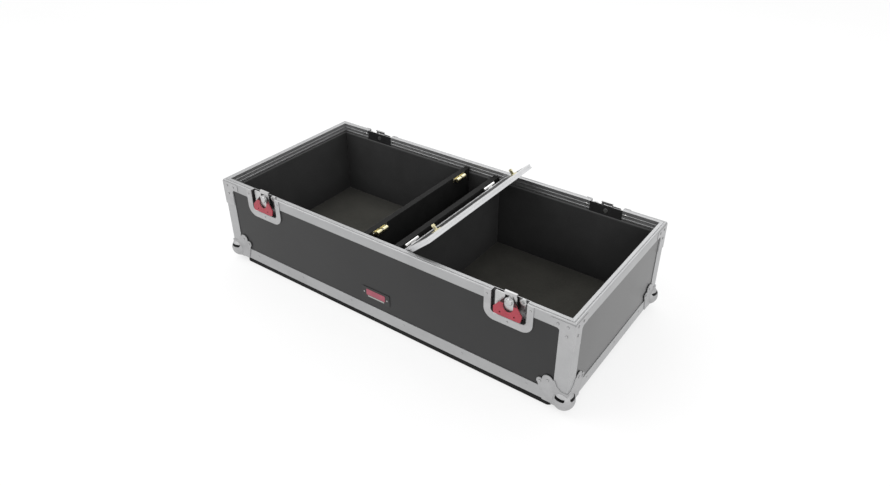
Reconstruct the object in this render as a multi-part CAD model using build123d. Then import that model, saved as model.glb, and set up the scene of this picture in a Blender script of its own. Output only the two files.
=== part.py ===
from build123d import *
import math
import os

# Speaker case: the lower half of a two-speaker flight case, with two speaker bays,
# a small utility bay between them under a hinged lid, and four butterfly latches.
# Millimetres. X runs along the case, Y to the back, Z up. The origin is at the middle
# of the underside board, on the surface that the case stands on.
# Heights named here count from the lower edge of the aluminium, which lies on the board.

# Overall case, over the aluminium
case_length = 1107.0
case_width = 506.0
case_height = 245.0

# Panels and sheet
ply = 12.0
floor_ply = 9.0
sheet = 1.5
board_thickness = 18.0
board_end_clearance = 2.0
board_side_inset = 5.0
board_corner_radius = 12.0

# Rim extrusion, a channel with a rounded lip, a narrow groove and a flat land for the cover
rim_face = 27.0
rim_inner_leg = 26.0
rim_inner_wall = 1.9
rim_lip_width = 5.2
rim_lip_radius = 2.2
rim_groove_width = 1.4
rim_groove_depth = 1.6
rim_land_radius = 0.8
rim_ridge_radius = 0.8
rim_ridge_drops = (11.3, 21.8)

# Edge angles
corner_leg = 36.0
bottom_leg = 35.0
angle_radius = 2.4

# Ball corners
ball_radius = 26.5
ball_inset = 11.5
ball_height = 17.0
ball_plate = 2.0
ball_lobe_near = (50.0, 62.5, 14.0)
ball_lobe_far = (69.0, 52.0, 9.0)
ball_foot_reach = 60.0
ball_bottom_reach = 38.0
ball_slot_length = 26.0
ball_slot_height = 6.0
ball_slot_centre = (14.0, 30.0)
ball_slot_floor = 1.0
angle_tip_height = 46.0
angle_tip_width = 15.0
angle_tip_shoulder = (26.0, 9.0)
angle_tip_side = (33.0, 23.0)
angle_tip_end = 38.0

# Braces on the top corners
brace_thickness = 1.2
brace_reach = 58.0
brace_drop = 72.0
brace_fillet = 9.0
brace_top_margin = 4.5

# Rivets
rivet_radius = 3.4
rivet_height = 1.2
small_rivet_radius = 2.5
small_rivet_height = 1.0
edge_rivet_pitch = 190.0

# Dividers, floor and foam
divider_thickness = 15.0
divider_drop = 15.0
divider_side_gap = 0.2
utility_bay_width = 86.0
wall_foam = 9.0
foam_top_gap = 2.0
foam_leaf_gap = 1.0
floor_mat = 4.0
foam_pocket_clearance = 1.0
foam_notch_length = 30.0
foam_notch_drop = 7.0

# Latches: places on the wall, dish, and the depth of each layer behind the aluminium face
latch_from_end = 162.0
dish_width = 127.0
dish_drop = 79.0
dish_flange = 18.0
dish_flange_foot = 20.0
dish_lip_radius = 3.0
dish_corner_radius = 28.0
pan_corner_radius = 9.0
pan_depth = 15.5
cam_drop = 15.5
cam_throw = 4.0
cam_disc_radius = 8.5
cam_journal_radius = 4.0
cam_collar_radius = 8.0
cam_head_radius = 6.0
cam_head_thickness = 1.2
cam_boss_radius = 8.6
cam_boss_rise = 2.2
cam_boss_edge = 1.7
cam_lug_radius = 12.0
cam_lug_drop = 31.0
cam_lug_thickness = 2.6
running_clearance = 0.06
layer_clearance = 0.4
hook_front = 6.5
hook_thickness = 2.0
hook_left = 39.0
hook_right = 17.0
hook_top_rise = 0.3
hook_bottom_drop = 49.0
hook_neck_half = 16.0
hook_neck_rise = 7.5
hook_lip_depth = 5.5
hook_window_play = 1.1
hook_stud_place = 24.0
hook_stud_radius = 3.0
hook_stud_rise = 0.7
guide_radius = 2.0
guide_head_radius = 4.2
guide_head_thickness = 1.7
guide_left = 30.0
guide_right = 11.0
guide_drop = 44.5
wing_thickness = 2.6
wing_rest_tilt = 9.0
wing_pivot_depth = 2.5
wing_pivot_drop = 1.0
wing_pin_radius = 1.6
wing_ear_radius = 3.0
wing_ear_start = 12.6
wing_ear_end = 17.5
wing_half_width = 37.0
wing_foot_half = 35.0
wing_drop = 39.0
wing_shoulder_drop = 22.0
wing_horn_inner = 13.2
wing_horn_outer = 22.5
wing_notch_drop = 25.0
wing_hole_radius = 2.0
wing_hole_half = 18.5
wing_hole_drop = 31.0
wing_corner_radius = 5.0
eye_offset = 31.0
eye_drop = 7.0
eye_radius = 8.2
eye_hole_radius = 4.2
eye_front = 9.5
eye_foot_half = 5.0
eye_foot_drop = 28.0

# Utility bay lid, drawn shut and then swung open
lid_thickness = 13.0
lid_gap = 0.3
lid_end_clearance = 2.0
lid_trim_leg = 15.0
lid_trim_edge = 3.0
lid_trim_groove = 1.2
lid_trim_groove_width = 3.4
lid_open_angle = 139.0

# Hinges of the lid
hinge_length = 50.0
hinge_from_front = 78.0
hinge_from_rear = 74.0
hinge_leaf = 1.4
hinge_leaf_drop = 26.0
hinge_barrel_radius = 3.6
hinge_pin_radius = 1.8
hinge_axis_drop = 5.0
hinge_middle_half = 9.0
hinge_side_gap = 0.2
hinge_pin_head = 0.8

# Ball catches and the spears that they hold
catch_length = 56.0
catch_plate = 1.5
catch_axis_out = 8.0
catch_axis_drop = 8.5
catch_barrel_radius = 6.0
catch_barrel_end = 20.0
catch_slot_half = 3.0
catch_ball_radius = 3.2
catch_ball_centre = 5.1
catch_ball_travel = 0.9
catch_spring_radius = 2.8
catch_spring_wall = 0.6
catch_end_wall = 1.5
spear_plate_length = 22.0
spear_plate_width = 13.0
spear_plate = 1.8
spear_neck_half = 1.1
spear_width_half = 4.5
spear_head_half = 2.5
spear_head_drop = 11.6
spear_tip_drop = 17.5

# Bare badge plate on the front
badge_length = 92.0
badge_height = 34.0
badge_centre_height = 75.0
badge_radius = 3.0
badge_label_length = 62.0
badge_label_height = 18.0
badge_label_rise = 2.0
badge_label_thickness = 0.6
badge_rivet_half = 38.0

# Values worked out from the ones above
half_length = case_length / 2
half_width = case_width / 2
board_end_inset = ball_bottom_reach + board_end_clearance
rim_depth = sheet + ply + rim_inner_wall
rim_land_start = rim_lip_width + rim_groove_width
panel_inner = sheet + ply
panel_top = case_height - rim_groove_depth - sheet
foam_face = panel_inner + wall_foam
foam_top = case_height - rim_inner_leg - foam_top_gap
floor_top = sheet + floor_ply
mat_top = floor_top + floor_mat
divider_face = utility_bay_width / 2 + divider_thickness
divider_height = case_height - divider_drop
latch_centre = half_length - latch_from_end
pan_half = dish_width / 2 - dish_flange
pan_outer_half = pan_half + sheet
pan_floor = pan_depth - sheet
dish_foot = case_height - dish_drop
pan_foot = dish_foot + dish_flange_foot
cam_height = case_height - cam_drop
wing_pivot_height = cam_height - wing_pivot_drop
wing_front = wing_pivot_depth - wing_ear_radius
lug_back = hook_front - 2 * layer_clearance - guide_head_thickness
lug_front = lug_back - cam_lug_thickness
hook_back = hook_front + hook_thickness
hook_travel = 2 * cam_throw
hook_top = case_height + hook_top_rise
hook_lip_top = case_height + hook_neck_rise
guide_height = case_height - guide_drop
dish_rivet_half = dish_width / 2 - 7.5
dish_rivet_height = case_height - 13.0
hinge_axis_x = divider_face + hinge_side_gap + hinge_barrel_radius
hinge_axis_height = divider_height - hinge_axis_drop
hinge_leaf_foot = hinge_axis_height - hinge_leaf_drop
lid_under = divider_height + lid_gap
lid_top = lid_under + lid_thickness
lid_free_x = -divider_face
lid_hinge_x = divider_face + hinge_side_gap
lid_end_y = half_width - rim_depth - lid_end_clearance
hinge_places = (-half_width + hinge_from_front, half_width - hinge_from_rear)
catch_face = -utility_bay_width / 2
catch_axis_x = catch_face + catch_axis_out
catch_height = lid_under - catch_axis_drop


def block(x0, x1, y0, y1, z0, z1):
    """A box between two corners."""
    return Pos((x0 + x1) / 2, (y0 + y1) / 2, (z0 + z1) / 2) * Box(x1 - x0, y1 - y0, z1 - z0)


def rod_y(x, z, radius, y0, y1):
    """A round bar along Y."""
    return Pos(x, (y0 + y1) / 2, z) * Rot(90, 0, 0) * Cylinder(radius, y1 - y0)


def rod_x(y, z, radius, x0, x1):
    """A round bar along X."""
    return Pos((x0 + x1) / 2, y, z) * Rot(0, 90, 0) * Cylinder(radius, x1 - x0)


def outline(*points):
    """A flat face with straight sides."""
    return make_face(Polyline(*points, close=True))


def rectangle(x0, x1, y0, y1):
    """A flat rectangle between two corners."""
    return Pos((x0 + x1) / 2, (y0 + y1) / 2) * Rectangle(x1 - x0, y1 - y0)


def wall_plate(face, depth0, depth1):
    """Thicken a face drawn on a wall, across and up, between two depths behind it."""
    plane = Plane(origin=(0, depth1, 0), x_dir=(1, 0, 0), z_dir=(0, -1, 0))
    return extrude(plane * face, depth1 - depth0)


def on_wall(shape, side):
    """Move a shape drawn on a wall at Y = 0, facing -Y, to one side of the case."""
    turn = {"front": 0, "rear": 180, "left": -90, "right": 90}[side]
    reach = half_width if side in ("front", "rear") else half_length
    return Rot(0, 0, turn) * (Pos(0, -reach, board_thickness) * shape)


def on_corner(shape, side_x, side_y):
    """Move a shape drawn at the front left corner to one of the four corners."""
    placed = Pos(-half_length, -half_width, board_thickness) * shape
    if side_x > 0:
        placed = mirror(placed, about=Plane.YZ)
    if side_y > 0:
        placed = mirror(placed, about=Plane.XZ)
    return placed


def raised(shape):
    """Lift a shape drawn from the lower edge of the aluminium onto the board."""
    return Pos(0, 0, board_thickness) * shape


def rivet_head(radius, height):
    """A low domed rivet head that stands on Z = 0."""
    head = Pos(0, 0, height / 2) * Cylinder(radius, height)
    rim = head.edges().filter_by(GeomType.CIRCLE).sort_by(Axis.Z)[-1]
    return chamfer(rim, height * 0.6)


def wall_rivet(across, up, depth, radius, height):
    """A rivet head that stands out of a wall from the given depth."""
    return Pos(across, depth, up) * Rot(90, 0, 0) * rivet_head(radius, height)


def every_corner():
    """The four corners, as signs along X and Y."""
    return [(side_x, side_y) for side_x in (-1, 1) for side_y in (-1, 1)]


# Panels and board


def latch_cutout(grow, foot, depth0, depth1):
    """The space that the two latch pans take out of a long wall."""
    half = pan_outer_half + grow
    spaces = [
        block(centre - half, centre + half, depth0, depth1, foot, case_height * 2)
        for centre in (-latch_centre, latch_centre)
    ]
    return spaces[0] + spaces[1]


def long_panel():
    """A long wall of plywood, open where the latch pans sit."""
    half = half_length - sheet
    wall = block(-half, half, sheet, panel_inner, sheet, panel_top)
    return wall - latch_cutout(0.2, pan_foot - sheet - 0.2, 0, pan_depth)


def end_panel():
    """A short wall of plywood between the long ones."""
    half = half_width - panel_inner
    return block(-half, half, sheet, panel_inner, sheet, panel_top)


def floor_panel():
    half_x = half_length - panel_inner
    half_y = half_width - panel_inner
    return raised(block(-half_x, half_x, -half_y, half_y, sheet, floor_top))


def underside_board():
    half_x = half_length - board_end_inset
    half_y = half_width - board_side_inset
    board = block(-half_x, half_x, -half_y, half_y, 0, board_thickness)
    return fillet(board.edges().filter_by(Axis.Z), board_corner_radius)


# Aluminium edges


def rim_section():
    """The rim extrusion's section: depth across, height from the top of the outer lip."""
    web = rim_groove_depth + sheet
    section = rectangle(0, sheet, -rim_face, -web)
    section += rectangle(0, rim_depth, -web, -rim_groove_depth)
    lip = rectangle(0, rim_lip_width, -web, 0)
    section += fillet(lip.vertices().group_by(Axis.Y)[-1], rim_lip_radius)
    land = rectangle(rim_land_start, rim_depth, -web, 0)
    section += fillet(land.vertices().group_by(Axis.Y)[-1], rim_land_radius)
    section += rectangle(rim_depth - rim_inner_wall, rim_depth, -rim_inner_leg, -web)
    for drop in rim_ridge_drops:
        section += Pos(rim_depth, -drop) * Circle(rim_ridge_radius)
    return section


def mitre(half, depth, low, high):
    """The space of one side of a mitred frame."""
    plan = outline((-half, 0), (half, 0), (half - depth, depth), (-half + depth, depth))
    return extrude(Plane.XY.offset(low) * plan, high - low)


def mitred_bar(section, half, depth, low, high):
    """A section run along a wall, mitred at both ends."""
    bar = extrude(Plane.YZ.offset(-half) * section, 2 * half)
    return bar & mitre(half, depth, low, high)


def rim_bar(half):
    """One side of the rim, at its height."""
    section = Pos(0, case_height) * rim_section()
    low = case_height - rim_inner_leg - 1
    high = case_height + 1
    return mitred_bar(section, half, rim_depth + 2 * rim_ridge_radius, low, high)


def long_rim():
    """A long side of the rim, cut at the latch pans, with flats under the rivets' closed ends."""
    rim = rim_bar(half_length) - latch_cutout(0, 0, -1, rim_depth * 2)
    for centre in (-latch_centre, latch_centre):
        for across in (-dish_rivet_half, dish_rivet_half):
            seat = rod_y(centre + across, dish_rivet_height, rivet_radius + 0.3, rim_depth, rim_depth * 2)
            rim -= seat
    return rim


def bottom_angle(half):
    """An angle along the lower edge of a wall."""
    section = rectangle(0, sheet, 0, bottom_leg) + rectangle(0, bottom_leg, 0, sheet)
    outer = section.vertices().sort_by(lambda v: v.X + v.Y)[0]
    section = fillet(outer, sheet * 0.9)
    return mitred_bar(section, half, bottom_leg + 1, -1, bottom_leg + 1)


def corner_angle():
    """An angle up a corner, from the bottom angles to the rim."""
    section = rectangle(0, corner_leg, 0, sheet) + rectangle(0, sheet, 0, corner_leg)
    outer = section.vertices().sort_by(lambda v: v.X + v.Y)[0]
    section = fillet(outer, angle_radius)
    height = case_height - rim_face - bottom_leg
    return Pos(0, 0, bottom_leg) * extrude(section, height)


def ball_plate_face():
    """The plate of a ball corner on one wall, with two lobes beside the corner angle."""
    near_x, near_z, near_r = ball_lobe_near
    far_x, far_z, far_r = ball_lobe_far
    face = outline((0, 0), (ball_foot_reach, 0), (far_x + far_r * 0.6, far_z - far_r * 0.8),
                   (far_x, far_z), (near_x, near_z), (near_x - near_r, near_z + near_r * 0.5),
                   (0, near_z + near_r))
    face += Pos(near_x, near_z) * Circle(near_r)
    face += Pos(far_x, far_z) * Circle(far_r)
    shoulder_x, shoulder_rise = angle_tip_shoulder
    side_x, side_rise = angle_tip_side
    window = outline((-1, angle_tip_height), (angle_tip_width, angle_tip_height),
                     (shoulder_x, angle_tip_height + shoulder_rise), (side_x, angle_tip_height + side_rise),
                     (corner_leg, angle_tip_height + angle_tip_end),
                     (corner_leg, case_height), (-1, case_height))
    return face - window


def ball_slot():
    """The long slot in a ball corner's bulge, with a thin floor at the wall."""
    across, up = ball_slot_centre
    slot = Pos(across, up) * SlotOverall(ball_slot_length, ball_slot_height)
    return wall_plate(slot, -ball_radius, -ball_slot_floor)


def ball_corner():
    """A three-legged ball corner over the front left bottom corner."""
    front = wall_plate(ball_plate_face(), -ball_plate, 0)
    side = mirror(front, about=Plane(origin=(0, 0, 0), x_dir=(0, 0, 1), z_dir=(1, -1, 0)))
    under = block(-ball_plate, ball_bottom_reach, -ball_plate, ball_bottom_reach, -ball_plate, 0)
    under = fillet(under.edges().filter_by(Axis.Z).sort_by(lambda e: e.center().X + e.center().Y)[-1],
                   ball_bottom_reach * 0.4)
    edge_post = block(-ball_plate, 0, -ball_plate, 0, -ball_plate, angle_tip_height)
    ball = Pos(ball_inset, ball_inset, ball_height) * Sphere(ball_radius)
    slot = ball_slot()
    side_slot = mirror(slot, about=Plane(origin=(0, 0, 0), x_dir=(0, 0, 1), z_dir=(1, -1, 0)))
    inside = block(0, case_height, 0, case_height, 0, case_height)
    return front + side + under + edge_post + ball - inside - slot - side_slot


def brace_face():
    """One leaf of a top corner brace, an L with a rounded inner corner."""
    top = case_height - brace_top_margin
    arm = rim_face - brace_top_margin - 1
    face = outline((0, top), (brace_reach, top), (brace_reach, top - arm), (corner_leg - 2, top - arm),
                   (corner_leg - 2, top - brace_drop), (0, top - brace_drop))
    inner = face.vertices().sort_by_distance((corner_leg - 2, top - arm))[0]
    face = fillet(inner, brace_fillet)
    ends = face.vertices().sort_by_distance((0, top))[-3:]
    return fillet(ends, 3)


def corner_brace():
    """A brace folded round a top corner."""
    front = wall_plate(brace_face(), -brace_thickness, 0)
    side = mirror(front, about=Plane(origin=(0, 0, 0), x_dir=(0, 0, 1), z_dir=(1, -1, 0)))
    top = case_height - brace_top_margin
    fold = block(-brace_thickness, 0, -brace_thickness, 0, top - brace_drop, top)
    return front + side + fold


# Dividers and linings


def divider(centre):
    """A partition across the case, stepped in at the top to pass the rim's inner legs."""
    half = divider_thickness / 2
    reach = half_width - panel_inner
    reach_top = half_width - rim_depth - rim_ridge_radius - divider_side_gap
    low = block(centre - half, centre + half, -reach, reach, floor_top, foam_top)
    high = block(centre - half, centre + half, -reach_top, reach_top, foam_top, divider_height)
    return raised(low + high)


def foam_pockets():
    """The pockets that the linings leave behind the latch pans, in the case's frame."""
    depth = pan_depth + cam_head_thickness + foam_pocket_clearance
    space = latch_cutout(foam_pocket_clearance, pan_foot - sheet - foam_pocket_clearance, 0, depth)
    return on_wall(space, "front") + on_wall(space, "rear")


def lining_wall(x0, x1, y0, y1, top=foam_top):
    return raised(block(x0, x1, y0, y1, floor_top, top))


def lid_notch(x0):
    """The room at the top of the foam that the open lid's corners need."""
    low = foam_top - foam_notch_drop
    return raised(block(x0 - 1, x0 + foam_notch_length, -half_width, half_width, low, foam_top + 1))


def bay_walls(x0, x1, outer_side):
    """The foam on the walls of one bay, as separate sheets."""
    inner_y = half_width - panel_inner
    foam_y = half_width - foam_face
    start = x0 + wall_foam if outer_side < 0 else x0
    stop = x1 - wall_foam if outer_side > 0 else x1
    sheets = [lining_wall(start, stop, -inner_y, -foam_y), lining_wall(start, stop, foam_y, inner_y)]
    sheets = [part - foam_pockets() for part in sheets]
    if outer_side < 0:
        sheets.append(lining_wall(x0, start, -inner_y, inner_y))
        sheets.append(lining_wall(x1 - wall_foam, x1, -foam_y, foam_y))
    if outer_side > 0:
        sheets = [part - lid_notch(start) for part in sheets]
        sheets.append(lining_wall(stop, x1, -inner_y, inner_y))
        sheets.append(lining_wall(x0, x0 + wall_foam, -foam_y, foam_y, hinge_leaf_foot - foam_leaf_gap))
    return Compound(children=sheets)


def bay_mat(x0, x1):
    """The mat on the floor of one bay."""
    foam_y = half_width - foam_face
    return raised(block(x0, x1, -foam_y, foam_y, floor_top, mat_top))


# Latches, drawn at the middle of a wall


def dish_outline():
    """The outer edge of a latch dish, open at the top of the case."""
    half = dish_width / 2
    face = rectangle(-half, half, dish_foot, case_height)
    return fillet(face.vertices().sort_by(Axis.Y)[:2], dish_corner_radius)


def pan_outline(grow):
    """The inside of the pan, or its outside with the sheet's thickness added."""
    half = pan_half + grow
    face = rectangle(-half, half, pan_foot - grow, case_height)
    return fillet(face.vertices().sort_by(Axis.Y)[:2], pan_corner_radius + grow)


def rounded_lip(dish):
    """Round the flange's inner edge, where it turns back into the pan."""
    front = dish.faces().sort_by(Axis.Y)[0]
    inner = [
        edge for edge in front.edges()
        if abs(edge.center().X) < pan_half + 0.1
        and pan_foot - 0.1 < edge.center().Z < case_height - 0.1
    ]
    return fillet(inner, dish_lip_radius)


def latch_dish():
    """A recessed half dish with a flange, its cam bore and the hook's two guides."""
    flange = wall_plate(dish_outline() - pan_outline(0), -sheet, 0)
    below_rim = rectangle(-dish_width, dish_width, 0, case_height - rim_face)
    skirt = wall_plate((dish_outline() & below_rim) - pan_outline(0), 0, sheet)
    walls = wall_plate(pan_outline(sheet) - pan_outline(0), 0, pan_floor)
    floor = wall_plate(pan_outline(sheet), pan_floor, pan_depth)
    dish = rounded_lip(flange + walls) + skirt + floor
    dish -= rod_y(0, cam_height, cam_journal_radius + running_clearance, 0, pan_depth * 2)
    head_back = hook_front - layer_clearance
    for across in (-guide_left, guide_right):
        dish += rod_y(across, guide_height, guide_radius, head_back - 0.5, pan_floor + 0.5)
        dish += rod_y(across, guide_height, guide_head_radius, head_back - guide_head_thickness, head_back)
    return dish


def latch_cam():
    """The cam: a riveted journal, a collar, the throw, a lug, the boss and the wing's pins."""
    back = pan_depth + 0.1
    collar_front = hook_back + layer_clearance
    cam = rod_y(0, cam_height, cam_head_radius, back, back + cam_head_thickness)
    cam += rod_y(0, cam_height, cam_journal_radius, pan_floor - 0.2, back)
    cam += rod_y(0, cam_height, cam_collar_radius, collar_front, pan_floor - 0.1)
    cam += rod_y(0, cam_height + cam_throw, cam_disc_radius, lug_back, collar_front)
    lug = Pos(0, cam_height) * Circle(cam_lug_radius)
    lug += Pos(0, cam_height - cam_lug_drop + cam_lug_radius) * Circle(cam_lug_radius)
    lug += rectangle(-cam_lug_radius, cam_lug_radius, cam_height - cam_lug_drop + cam_lug_radius, cam_height)
    cam += wall_plate(lug, lug_front, lug_back)
    boss = rod_y(0, cam_height, cam_boss_radius, lug_front - cam_boss_rise, lug_front)
    front_edge = boss.edges().filter_by(GeomType.CIRCLE).sort_by(Axis.Y)[0]
    cam += fillet(front_edge, cam_boss_edge)
    pin_end = wing_ear_end + 0.4
    cam += rod_x(wing_pivot_depth, wing_pivot_height, wing_pin_radius, -pin_end, pin_end)
    return cam


def wing_outline():
    """The folded wing: two shoulders, two horns and a round notch for the boss."""
    top = wing_pivot_height + wing_pin_radius
    foot = cam_height - wing_drop
    shoulder = cam_height - wing_shoulder_drop
    horn = cam_height - wing_shoulder_drop * 0.25
    notch = cam_height - wing_notch_drop + wing_horn_inner
    right = [(wing_foot_half, foot), (wing_half_width, shoulder), (wing_horn_outer, horn),
             (wing_ear_end, top), (wing_ear_start, top), (wing_horn_inner, notch)]
    left = [(-x, z) for x, z in reversed(right)]
    face = outline(*right, *left)
    face -= Pos(0, notch) * Circle(wing_horn_inner)
    face -= rectangle(-wing_ear_start, wing_ear_start, notch, top + 1)
    corners = face.vertices().sort_by(Axis.Y)[:2]
    return fillet(corners, wing_corner_radius)


def latch_wing():
    """The butterfly wing, folded down over the dish, its foot resting a little way out."""
    wing = wall_plate(wing_outline(), wing_front, wing_front + wing_thickness)
    shoulder = cam_height - wing_shoulder_drop
    for side in (-1, 1):
        ends = sorted((side * wing_ear_start, side * wing_ear_end))
        wing += rod_x(wing_pivot_depth, wing_pivot_height, wing_ear_radius, *ends)
        reach = wing_pivot_height - (shoulder + wing_pivot_height) / 2
        wing += block(ends[0], ends[1], wing_front, wing_pivot_depth,
                      wing_pivot_height - reach * 0.5, wing_pivot_height)
        bore = wing_pin_radius + running_clearance
        wing -= rod_x(wing_pivot_depth, wing_pivot_height, bore, ends[0] - 1, ends[1] + 1)
        wing -= rod_y(side * wing_hole_half, cam_height - wing_hole_drop, wing_hole_radius,
                      wing_front - 1, wing_front + wing_thickness + 1)
    pivot = Axis((0, wing_pivot_depth, wing_pivot_height), (1, 0, 0))
    return wing.rotate(pivot, -wing_rest_tilt)


def latch_hook():
    """The sliding hook plate, with a window for the cam and a neck that bears the lip."""
    half_window = cam_disc_radius + hook_window_play
    centre = cam_height + cam_throw
    face = rectangle(-hook_left, hook_right, case_height - hook_bottom_drop, hook_top)
    face = fillet(face.vertices(), 3)
    face += rectangle(-hook_neck_half, hook_neck_half, hook_top - 5, hook_lip_top)
    face -= rectangle(-half_window - cam_throw, half_window, centre - half_window, centre + half_window)
    slot_half = guide_radius + 0.3
    for across in (-guide_left, guide_right):
        face -= rectangle(across - slot_half, across + slot_half, guide_height - slot_half,
                          guide_height + hook_travel + slot_half)
    hook = wall_plate(face, hook_front, hook_back)
    lip = block(-hook_neck_half, hook_neck_half, hook_front, hook_front + hook_lip_depth,
                hook_lip_top - hook_thickness, hook_lip_top)
    top_edge = lip.edges().filter_by(Axis.X).sort_by(lambda e: e.center().Y - e.center().Z)[0]
    stud = rod_y(-hook_stud_place, cam_height, hook_stud_radius, hook_front - hook_stud_rise, hook_front)
    return hook + fillet(top_edge, 1.2) + stud


def padlock_eye():
    """A small eye for a padlock, riveted to the pan beside the hook."""
    height = case_height - eye_drop
    foot = rectangle(eye_offset - eye_foot_half, eye_offset + eye_foot_half, height - eye_foot_drop, height)
    foot += Pos(eye_offset, height - eye_foot_drop) * Circle(eye_foot_half)
    eye = wall_plate(foot, pan_floor - sheet, pan_floor)
    eye += rod_y(eye_offset, height, eye_radius, eye_front, pan_floor)
    rib = rectangle(eye_offset + 1, eye_offset + eye_foot_half, height - eye_foot_drop, height)
    eye += wall_plate(rib, eye_front + 2, pan_floor)
    return eye - rod_y(eye_offset, height, eye_hole_radius, 0, pan_floor - sheet)


def at_latch(shape, side, sign):
    """Move a latch piece to one of its four places; sign is along X, seen from the front."""
    across = sign * latch_centre if side == "front" else -sign * latch_centre
    return on_wall(Pos(across, 0, 0) * shape, side)


# Utility bay lid and its hardware, drawn shut


def lid_trim_section():
    """A channel over the lid's edge: across from the edge inwards, and up the thickness."""
    section = rectangle(0, lid_trim_leg, 0, lid_thickness)
    section -= rectangle(lid_trim_edge, lid_trim_leg + 1, sheet, lid_thickness - sheet)
    half = lid_trim_groove_width / 2
    section -= rectangle(-1, lid_trim_groove, lid_thickness / 2 - half, lid_thickness / 2 + half)
    return section


def lid_trim(half, mitre_depth):
    """One side of the lid's frame, drawn along X and facing -Y."""
    return mitred_bar(lid_trim_section(), half, mitre_depth, -1, lid_thickness + 1)


def lid_side_trim(side):
    """The trim along the free edge (-1) or the hinge edge (1)."""
    bar = Rot(0, 0, 90 * side) * lid_trim(lid_end_y, lid_trim_leg + 1)
    edge = lid_free_x if side < 0 else lid_hinge_x
    return Pos(edge, 0, lid_under) * bar


def lid_end_trims():
    """The trims along the lid's front and rear ends."""
    half = (lid_hinge_x - lid_free_x) / 2
    middle = (lid_hinge_x + lid_free_x) / 2
    bar = lid_trim(half, lid_trim_leg + 1)
    front = Pos(middle, -lid_end_y, lid_under) * bar
    rear = Pos(middle, lid_end_y, lid_under) * (Rot(0, 0, 180) * bar)
    return Compound(children=[front, rear])


def lid_panel():
    edge = lid_trim_edge
    return block(lid_free_x + edge, lid_hinge_x - edge, -lid_end_y + edge, lid_end_y - edge,
                 lid_under + sheet, lid_top - sheet)


def spear():
    """A brass spear under the lid, drawn at Y = 0."""
    x = catch_axis_x
    plate = block(x - spear_plate_width / 2, x + spear_plate_width / 2, -spear_plate_length / 2,
                  spear_plate_length / 2, lid_under - spear_plate, lid_under + sheet)
    head_top = lid_under - spear_head_drop
    tip = lid_under - spear_tip_drop
    head = outline((-spear_head_half, head_top), (spear_head_half, head_top), (0.8, tip), (-0.8, tip))
    plane = Plane(origin=(x - spear_width_half, 0, 0), x_dir=(0, 1, 0), z_dir=(1, 0, 0))
    head = extrude(plane * head, 2 * spear_width_half)
    neck = block(x - spear_width_half, x + spear_width_half, -spear_neck_half, spear_neck_half,
                 head_top - 0.5, lid_under)
    return plate + neck + head


def spear_seat():
    """The space that a spear's plate takes in the lid's inner face."""
    x = catch_axis_x
    return block(x - spear_plate_width / 2, x + spear_plate_width / 2, -spear_plate_length / 2,
                 spear_plate_length / 2, lid_under, lid_under + sheet)


def swing_open(shape):
    """Swing a lid piece about the hinge pins to where the lid rests open."""
    axis = Axis((hinge_axis_x, 0, hinge_axis_height), (0, 1, 0))
    return raised(shape.rotate(axis, lid_open_angle))


def hinge_knuckle(y0, y1):
    bore = hinge_pin_radius + running_clearance
    tube = rod_y(hinge_axis_x, hinge_axis_height, hinge_barrel_radius, y0, y1)
    return tube - rod_y(hinge_axis_x, hinge_axis_height, bore, y0 - 1, y1 + 1)


def fixed_leaf():
    """The leaf on the divider, with the two outer knuckles, drawn at Y = 0."""
    half = hinge_length / 2
    leaf = block(divider_face, divider_face + hinge_leaf, -half, half, hinge_leaf_foot,
                 hinge_axis_height - hinge_barrel_radius - 0.4)
    for side in (-1, 1):
        ends = sorted((side * (hinge_middle_half + hinge_side_gap), side * half))
        leaf += block(divider_face, divider_face + hinge_leaf, ends[0], ends[1],
                      hinge_leaf_foot, hinge_axis_height)
        leaf -= rod_y(hinge_axis_x, hinge_axis_height, hinge_barrel_radius - 0.5, ends[0], ends[1])
        leaf += hinge_knuckle(*ends)
    return leaf


def moving_leaf():
    """The leaf on the lid's edge, with the middle knuckle, drawn shut at Y = 0."""
    half = hinge_length / 2
    leaf = block(lid_hinge_x, lid_hinge_x + hinge_leaf, -half, half, lid_under, lid_top - 1)
    middle = block(lid_hinge_x, lid_hinge_x + hinge_leaf, -hinge_middle_half, hinge_middle_half,
                   hinge_axis_height, lid_under)
    middle -= rod_y(hinge_axis_x, hinge_axis_height, hinge_barrel_radius - 0.5, -half, half)
    return leaf + middle + hinge_knuckle(-hinge_middle_half, hinge_middle_half)


def hinge_pin():
    """A hinge pin with a head at each end."""
    half = hinge_length / 2 + 0.1
    pin = rod_y(hinge_axis_x, hinge_axis_height, hinge_pin_radius, -half, half)
    for side in (-1, 1):
        ends = sorted((side * half, side * (half + hinge_pin_head)))
        pin += rod_y(hinge_axis_x, hinge_axis_height, hinge_pin_radius + 0.8, *ends)
    return pin


def catch_body():
    """A double ball catch: a plate and two barrels that face each other across a slot."""
    x, z = catch_axis_x, catch_height
    half = catch_length / 2
    body = block(catch_face, catch_face + catch_plate, -half, half,
                 z - catch_barrel_radius, z + catch_barrel_radius)
    for side in (-1, 1):
        ends = sorted((side * catch_slot_half, side * catch_barrel_end))
        body += rod_y(x, z, catch_barrel_radius, *ends)
        body += block(catch_face, x, ends[0], ends[1], z - 2.5, z + 2.5)
        bore_end = side * (catch_barrel_end - catch_end_wall)
        body -= rod_y(x, z, catch_ball_radius + running_clearance, *sorted((0, bore_end)))
    return body


def catch_ball(side):
    return Pos(catch_axis_x, side * catch_ball_centre, catch_height) * Sphere(catch_ball_radius)


def catch_spring(side):
    """A spring behind one ball, as a plain sleeve."""
    start = catch_ball_centre + catch_ball_radius + catch_ball_travel + 0.05
    ends = sorted((side * start, side * (catch_barrel_end - catch_end_wall)))
    sleeve = rod_y(catch_axis_x, catch_height, catch_spring_radius, *ends)
    return sleeve - rod_y(catch_axis_x, catch_height, catch_spring_radius - catch_spring_wall,
                          ends[0] - 1, ends[1] + 1)


# Badge, rivets and screws


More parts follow.
